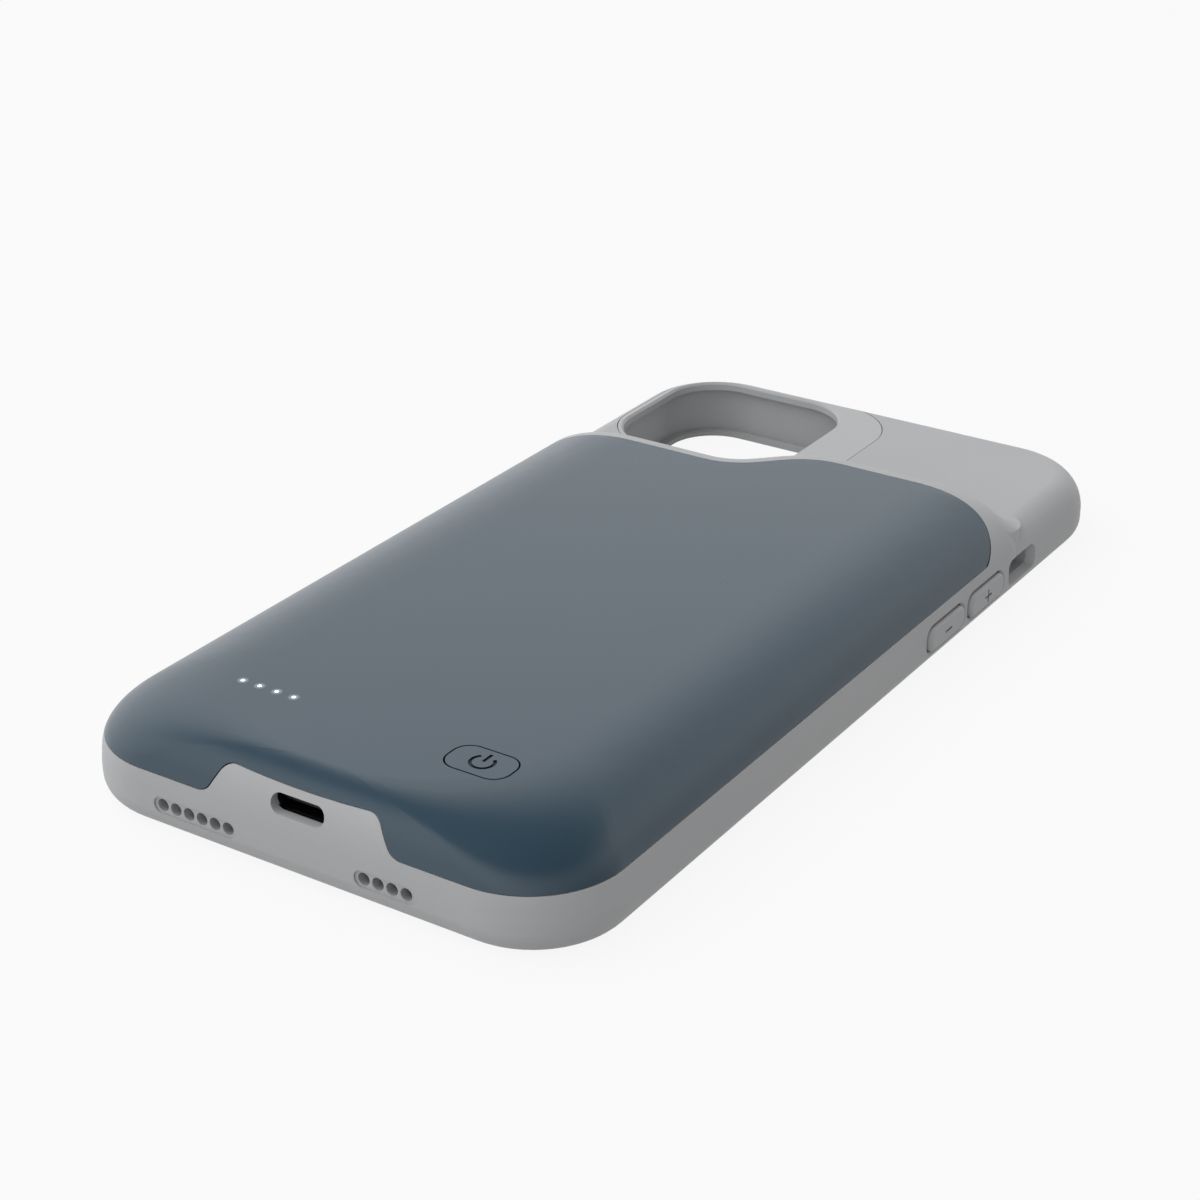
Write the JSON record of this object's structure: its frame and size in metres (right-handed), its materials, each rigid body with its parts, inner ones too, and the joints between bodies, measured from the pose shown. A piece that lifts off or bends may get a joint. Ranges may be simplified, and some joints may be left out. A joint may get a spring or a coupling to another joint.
{
  "type": "battery charging case",
  "caption": "Protective phone case with a battery in a bulge on its back, a charging port, indicator lights, a power button and side keys.",
  "frame": {"origin": "below the middle of the case, on the plane of the screen lip that it rests on", "axes": "+X to the side with the volume keys, +Y to the camera end, +Z out of the back"},
  "size_m": [0.0794, 0.1554, 0.015],
  "materials": {
    "soft_grey": "matte thermoplastic elastomer",
    "slate_shell": "soft-touch coating",
    "firm_grey": "matte",
    "tray_grey": "fine texture",
    "cell_foil": "satin laminate foil",
    "tape_black": "matte",
    "board_green": "solder mask",
    "port_steel": "dark nickel",
    "port_black": "satin",
    "plug_steel": "satin",
    "contact_gold": "polished",
    "lamp_white": "clear lens",
    "guide_clear": "clear",
    "chip_black": "moulded",
    "ferrite": "matte",
    "capacitor_tan": "fired",
    "lead_red": "smooth",
    "flex_amber": "film",
    "switch_steel": "stamped"
  },
  "bodies": {
    "case": {"soft_frame": "soft_grey", "battery_cover": "slate_shell", "camera_surround": "firm_grey", "inner_tray": "tray_grey", "light_guide": "guide_clear", "led_1": "lamp_white", "led_2": "lamp_white", "led_3": "lamp_white", "led_4": "lamp_white", "main_board": "board_green", "port_shell": "port_steel", "port_tongue": "port_black", "power_switch": "switch_steel", "charge_controller": "chip_black", "boost_inductor": "ferrite", "board_capacitors": "capacitor_tan", "battery_cell": "cell_foil", "cell_tape": "tape_black", "cell_protection_board": "board_green", "cell_leads": "lead_red", "bay_plug": "plug_steel", "plug_contacts": "contact_gold", "plug_carrier": "port_black", "plug_flex": "flex_amber"},
    "power_button_body": {"power_button": "slate_shell"},
    "volume_up_key_body": {"volume_up_key": "soft_grey"},
    "volume_down_key_body": {"volume_down_key": "soft_grey"},
    "side_key_body": {"side_key": "soft_grey"}
  },
  "joints": [
    {"name": "power_button_press", "type": "slide", "parent": "case", "child": "power_button_body", "axis": [0, 0, -1], "range_m": [0, 0.00035], "stiffness_N_per_m": 3000},
    {"name": "volume_up_key_press", "type": "slide", "parent": "case", "child": "volume_up_key_body", "axis": [-1, 0, 0], "range_m": [0, 0.0004], "stiffness_N_per_m": 3000},
    {"name": "volume_down_key_press", "type": "slide", "parent": "case", "child": "volume_down_key_body", "axis": [-1, 0, 0], "range_m": [0, 0.0004], "stiffness_N_per_m": 3000},
    {"name": "side_key_press", "type": "slide", "parent": "case", "child": "side_key_body", "axis": [1, 0, 0], "range_m": [0, 0.0004], "stiffness_N_per_m": 3000}
  ]
}
